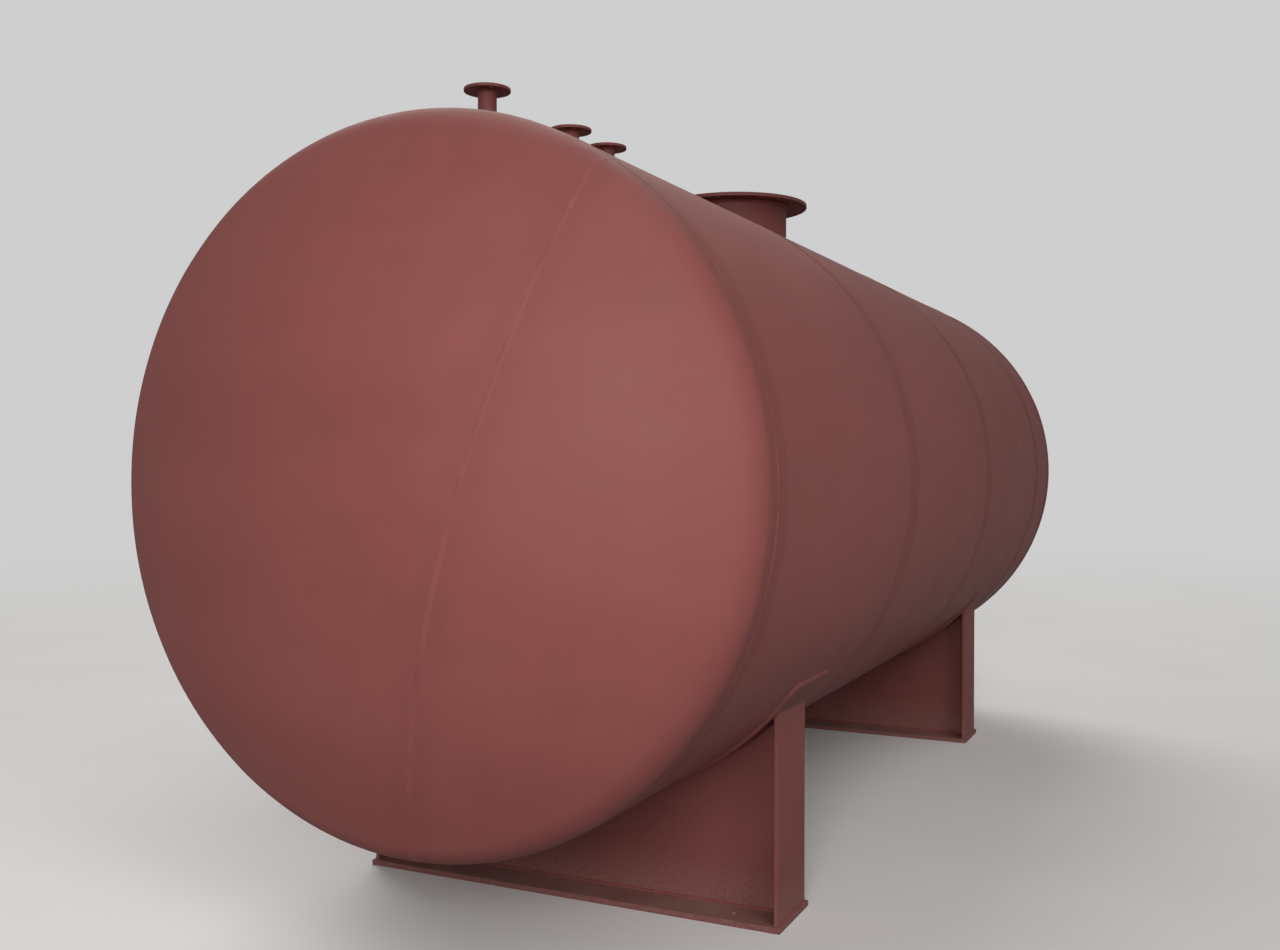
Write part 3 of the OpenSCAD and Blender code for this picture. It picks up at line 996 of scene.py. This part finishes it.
def end_welds(size, seed):
    """Fillets on the outer side of both end plates, on the base and under the wear plate."""
    angle = math.asin(size.half_width / WEAR_R)
    height = float(under_wear(size.half_width))
    x0, x1 = size.end_low.x, size.end_high.x
    beads = []
    for end in (-1, 1):
        y = end * size.half_width
        slope = np.array([0, end * math.cos(angle), math.sin(angle)])
        beads.append(fillet(line((x0, y, size.top), (x1, y, size.top)), Y * end, Z, False, seed, PLATE_LEG))
        beads.append(fillet(line((x0, y, height), (x1, y, height)), slope, -Z, False, seed + 1, PLATE_LEG))
    return beads


def wear_weld(size, seed):
    """Fillet round the wear plate's edge, on the shell."""
    edge = rounded_rectangle(size.wear_half_x, size.wear_half_round, WEAR_CORNER_R, PATH_STEP)
    tangent = unit(np.roll(edge, -1, 0) - np.roll(edge, 1, 0))
    points, down = around(edge[:, 0] + size.middle, math.pi - edge[:, 1] / SHELL_R)
    away = tangent[:, 1:] * X - tangent[:, :1] * np.cross(X, down)
    return fillet(settled(points, down), away, down, True, seed, PLATE_LEG)


def saddle(name, seed):
    """One saddle with all its plates and welds."""
    size = SaddleSizes(name)
    saddle_base(size)
    saddle_uprights(size)
    saddle_wear_plate(size)
    beads = web_welds(size, seed) + end_welds(size, seed + 5) + [wear_weld(size, seed + 7)]
    join_beads(f"{name}_welds", beads, SADDLE_WELD)


# The whole tank

NOZZLES = (1, 2, 3)

# X and radius of the openings in each course.
OPENINGS = [[round_part(f"nozzle_{number}_neck") for number in NOZZLES], [round_part("manway_neck")], [], []]

head_plate("near_head", -1)
head_plate("far_head", 1)
for i, name in enumerate(COURSES):
    course_plate(name, SEAMS_X[i], SEAMS_X[i + 1], OPENINGS[i])
    long_weld(i + 1, SEAMS_X[i], SEAMS_X[i + 1], LONG_WELD_DEG[i])
for number, seam_x in enumerate(SEAMS_X, 1):
    girth_weld(number, seam_x)
head_weld("near_head_weld", -1)
head_weld("far_head_weld", 1)
flanged_neck("manway_neck", "manway_flange", MANWAY_WALL, MANWAY_BOLTS, MANWAY_LEG, FITTING_SEED)
for number in NOZZLES:
    flanged_neck(f"nozzle_{number}_neck", f"nozzle_{number}_flange", NOZZLE_WALL, NOZZLE_BOLTS,
                 NOZZLE_LEG, FITTING_SEED + FITTING_SEED_STEP * number)
saddle("near_saddle", NEAR_SADDLE_SEED)
saddle("far_saddle", FAR_SADDLE_SEED)


# Camera, stage and light

# Camera: place in metres, turn in degrees, lens and sensor in millimetres, and how far it sees, in metres.
CAMERA_PLACE = (-5.5815, -2.1887, 1.5702)
CAMERA_TURN = (89.1564, 0.0, -64.371)
LENS = 35.406
SENSOR = 36.0
CAMERA_FAR = 500

# Stage: the floor's half width, and where it turns into the backdrop, in metres from the middle.
FLOOR_REACH = 150
FLOOR_FADE = (3, 20)
BACKDROP = (0.62, 0.622, 0.625)
FLOOR_TONES = ((0.76, 0.76, 0.765), (0.79, 0.79, 0.795))
FLOOR_BOUNCE = (0.40, 0.40, 0.40)
FLOOR_CLOUDS = {"scale": 0.7, "detail": 5, "rough": 0.6, "edges": (0.3, 0.7)}
FLOOR_ROUGH = 0.9

# Even light from all round, and the colour of all lamps.
SKY = (1.0, 0.98, 0.95)
SKY_POWER = 0.30
LAMP_COLOUR = (1.0, 0.98, 0.95)

# Wide suns: power, height and direction in degrees, where 0 shines from -X and 90 from -Y.
SUNS = {
    "front_sun": (0.75, 42, 46),
    "back_sun": (1.25, 45, 215),
}
SUN_SPREAD = 40

# Soft spots: place, what each faces, and power in watts. All have one radius in metres and cone in degrees.
SPOTS = {
    "head_spot": ((-8.9, -2.6, 3.2), (-2.6, 0.1, 1.4), 1300),
    "flank_spot": ((-4.9, -5.6, 3.0), (-1.6, -0.9, 1.4), 350),
}
SPOT_RADIUS = 1.2
SPOT_CONE = 50


def set_camera():
    """Camera that sees the tank as the photograph does."""
    data = bpy.data.cameras.new("camera")
    data.lens = LENS
    data.sensor_width = SENSOR
    data.sensor_fit = "HORIZONTAL"
    data.clip_end = CAMERA_FAR
    camera = bpy.data.objects.new("camera", data)
    camera.location = CAMERA_PLACE
    camera.rotation_euler = [math.radians(a) for a in CAMERA_TURN]
    bpy.context.scene.collection.objects.link(camera)
    bpy.context.scene.camera = camera


def set_floor():
    """Wide pale floor that turns into the backdrop far from the tank, and throws less light back up."""
    mesh = bpy.data.meshes.new("floor")
    corners = [(x * FLOOR_REACH, y * FLOOR_REACH, 0) for x, y in ((-1, -1), (1, -1), (1, 1), (-1, 1))]
    mesh.from_pydata(corners, [], [(0, 1, 2, 3)])
    f = Finish("floor_finish")
    seen = f.node("ShaderNodeLightPath").outputs["Is Camera Ray"]
    cloudy = f.mix(f.noise(**FLOOR_CLOUDS), *FLOOR_TONES)
    f.connect(Base_Color=f.mix(seen, FLOOR_BOUNCE, cloudy), Roughness=FLOOR_ROUGH)
    distance = f.node("ShaderNodeVectorMath", {0: f.place}, operation="LENGTH").outputs["Value"]
    share = f.math("MULTIPLY", f.ramp(distance, *FLOOR_FADE), seen)
    backdrop = f.node("ShaderNodeEmission", {"Color": BACKDROP})
    blend = f.node("ShaderNodeMixShader", {0: share, 1: f.shader.outputs[0], 2: backdrop.outputs[0]})
    f.put(f.tree.nodes["Material Output"].inputs["Surface"], blend.outputs[0])
    mesh.materials.append(f.material)
    floor = bpy.data.objects.new("floor", mesh)
    bpy.context.scene.collection.objects.link(floor)


def set_sun(name, power, height, direction):
    """Wide soft light over the whole tank."""
    data = bpy.data.lights.new(name, "SUN")
    data.energy = power
    data.angle = math.radians(SUN_SPREAD)
    data.color = LAMP_COLOUR
    sun = bpy.data.objects.new(name, data)
    sun.rotation_euler = (math.radians(90 - height), 0, math.radians(direction - 90))
    bpy.context.scene.collection.objects.link(sun)


def set_spot(name, place, target, power):
    """Soft light over the near part of the tank, where the photograph has its light."""
    data = bpy.data.lights.new(name, "SPOT")
    data.energy = power
    data.spot_size = math.radians(SPOT_CONE)
    data.spot_blend = 1.0
    data.shadow_soft_size = SPOT_RADIUS
    data.color = LAMP_COLOUR
    spot = bpy.data.objects.new(name, data)
    spot.location = place
    spot.rotation_euler = (Vector(target) - Vector(place)).to_track_quat("-Z", "Y").to_euler()
    spot.visible_camera = False
    bpy.context.scene.collection.objects.link(spot)


def set_world():
    """Pale even backdrop for the camera, and a weaker even light for everything else."""
    world = bpy.data.worlds.new("studio")
    world.use_nodes = True
    tree = world.node_tree
    tree.nodes.clear()
    kinds = ("ShaderNodeBackground", "ShaderNodeBackground", "ShaderNodeMixShader", "ShaderNodeLightPath")
    seen, light, choose, path = (tree.nodes.new(kind) for kind in kinds)
    output = tree.nodes.new("ShaderNodeOutputWorld")
    seen.inputs[0].default_value = (*BACKDROP, 1)
    light.inputs[0].default_value = (*SKY, 1)
    light.inputs[1].default_value = SKY_POWER
    tree.links.new(path.outputs["Is Camera Ray"], choose.inputs[0])
    tree.links.new(light.outputs[0], choose.inputs[1])
    tree.links.new(seen.outputs[0], choose.inputs[2])
    tree.links.new(choose.outputs[0], output.inputs[0])
    bpy.context.scene.world = world


set_camera()
set_floor()
for sun_name, sun_values in SUNS.items():
    set_sun(sun_name, *sun_values)
for spot_name, spot_values in SPOTS.items():
    set_spot(spot_name, *spot_values)
set_world()
bpy.context.scene.view_settings.view_transform = "Standard"
